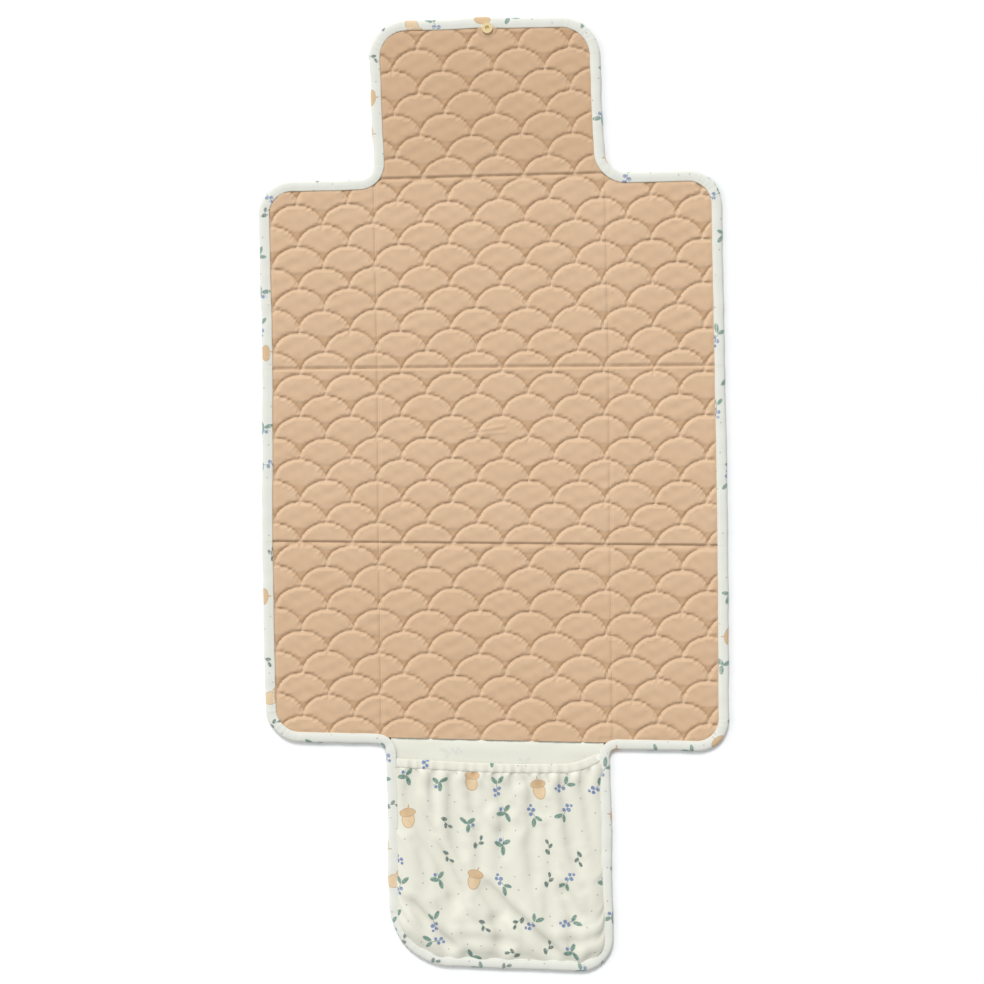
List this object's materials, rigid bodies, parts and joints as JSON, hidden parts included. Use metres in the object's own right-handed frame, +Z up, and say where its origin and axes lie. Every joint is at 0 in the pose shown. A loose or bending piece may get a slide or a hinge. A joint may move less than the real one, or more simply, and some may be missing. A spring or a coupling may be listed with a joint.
{
  "type": "changing pad",
  "caption": "Foldable travel changing pad: quilted panels with printed cotton binding, a snap closing tab and a gathered pocket.",
  "frame": {"origin": "centre of the underside of the open pad's bounding box", "axes": "+X across the pad to its right wing, +Y along it from the pocket to the snap tab, +Z up out of the quilted face"},
  "size_m": [0.461, 0.946, 0.0116],
  "materials": {
    "quilted_cotton": "brushed quilted cotton",
    "wadding": "needled polyester wadding",
    "outer_cotton": "printed cotton",
    "binding_cotton": "printed cotton binding",
    "pocket_cotton": "printed cotton",
    "elastic": "woven elastic",
    "stiffener": "stiff non-woven",
    "snap_metal": "pale gold plated",
    "spring_steel": "bright wire"
  },
  "bodies": {
    "lower_centre": {"lower_centre_binding": "binding_cotton", "lower_centre_outer_shell": "outer_cotton", "lower_centre_quilted_cover": "quilted_cotton", "lower_centre_wadding": "wadding", "pocket_seam_strip": "pocket_cotton"},
    "lower_left": {"lower_left_binding": "binding_cotton", "lower_left_outer_shell": "outer_cotton", "lower_left_quilted_cover": "quilted_cotton", "lower_left_wadding": "wadding"},
    "lower_right": {"lower_right_binding": "binding_cotton", "lower_right_outer_shell": "outer_cotton", "lower_right_quilted_cover": "quilted_cotton", "lower_right_wadding": "wadding"},
    "middle_centre": {"middle_centre_outer_shell": "outer_cotton", "middle_centre_quilted_cover": "quilted_cotton", "middle_centre_wadding": "wadding"},
    "middle_left": {"middle_left_binding": "binding_cotton", "middle_left_outer_shell": "outer_cotton", "middle_left_quilted_cover": "quilted_cotton", "middle_left_wadding": "wadding"},
    "middle_right": {"middle_right_binding": "binding_cotton", "middle_right_outer_shell": "outer_cotton", "middle_right_quilted_cover": "quilted_cotton", "middle_right_wadding": "wadding"},
    "upper_centre": {"upper_centre_binding": "binding_cotton", "upper_centre_outer_shell": "outer_cotton", "upper_centre_quilted_cover": "quilted_cotton", "upper_centre_wadding": "wadding"},
    "upper_left": {"upper_left_binding": "binding_cotton", "upper_left_outer_shell": "outer_cotton", "upper_left_quilted_cover": "quilted_cotton", "upper_left_wadding": "wadding"},
    "upper_right": {"upper_right_binding": "binding_cotton", "upper_right_outer_shell": "outer_cotton", "upper_right_quilted_cover": "quilted_cotton", "upper_right_wadding": "wadding"},
    "tab": {"tab_binding": "binding_cotton", "tab_outer_shell": "outer_cotton", "tab_quilted_cover": "quilted_cotton", "tab_wadding": "wadding", "snap_cap": "snap_metal", "snap_tab_patch": "stiffener", "snap_socket": "snap_metal", "snap_socket_spring": "spring_steel"},
    "pocket": {"pocket_binding": "binding_cotton", "pocket_front": "pocket_cotton", "pocket_hem": "pocket_cotton", "pocket_hem_elastic": "elastic", "pocket_lining": "pocket_cotton", "pocket_outer_shell": "outer_cotton", "snap_pocket_patch": "stiffener", "snap_stud": "snap_metal", "snap_stud_rivet": "snap_metal"}
  },
  "joints": [
    {"name": "left_wing_fold", "type": "hinge", "parent": "middle_centre", "child": "middle_left", "pos_m": [-0.1155, 0.0365, 0.0052], "axis": [0, 1, 0], "range_deg": [0, 179.9]},
    {"name": "upper_left_wing_fold", "type": "hinge", "parent": "upper_centre", "child": "upper_left", "pos_m": [-0.1155, 0.22, 0.0052], "axis": [0, 1, 0], "range_deg": [0, 179.9]},
    {"name": "lower_left_wing_fold", "type": "hinge", "parent": "lower_centre", "child": "lower_left", "pos_m": [-0.1155, -0.15225, 0.0052], "axis": [0, 1, 0], "range_deg": [0, 179.9]},
    {"name": "right_wing_fold", "type": "hinge", "parent": "middle_centre", "child": "middle_right", "pos_m": [0.1155, 0.0365, 0.0052], "axis": [0, -1, 0], "range_deg": [0, 179.9]},
    {"name": "upper_right_wing_fold", "type": "hinge", "parent": "upper_centre", "child": "upper_right", "pos_m": [0.1155, 0.22, 0.0052], "axis": [0, -1, 0], "range_deg": [0, 179.9]},
    {"name": "lower_right_wing_fold", "type": "hinge", "parent": "lower_centre", "child": "lower_right", "pos_m": [0.1155, -0.15225, 0.0052], "axis": [0, -1, 0], "range_deg": [0, 179.9]},
    {"name": "middle_fold", "type": "hinge", "parent": "lower_centre", "child": "middle_centre", "pos_m": [0, -0.0515, 0.0106], "axis": [1, 0, 0], "range_deg": [0, 179.9]},
    {"name": "upper_fold", "type": "hinge", "parent": "middle_centre", "child": "upper_centre", "pos_m": [0, 0.1245, -0.0002], "axis": [-1, 0, 0], "range_deg": [0, 179.9]},
    {"name": "tab_fold", "type": "hinge", "parent": "upper_centre", "child": "tab", "pos_m": [0, 0.3155, 0.0146], "axis": [1, 0, 0], "range_deg": [0, 179.9]},
    {"name": "pocket_fold", "type": "hinge", "parent": "lower_centre", "child": "pocket", "pos_m": [0, -0.253, 0.0225], "axis": [-1, 0, 0], "range_deg": [0, 179.9]}
  ],
  "couplings": [
    {"joint": "upper_left_wing_fold", "follows": "left_wing_fold", "ratio": 1},
    {"joint": "lower_left_wing_fold", "follows": "left_wing_fold", "ratio": 1},
    {"joint": "upper_right_wing_fold", "follows": "right_wing_fold", "ratio": 1},
    {"joint": "lower_right_wing_fold", "follows": "right_wing_fold", "ratio": 1}
  ]
}
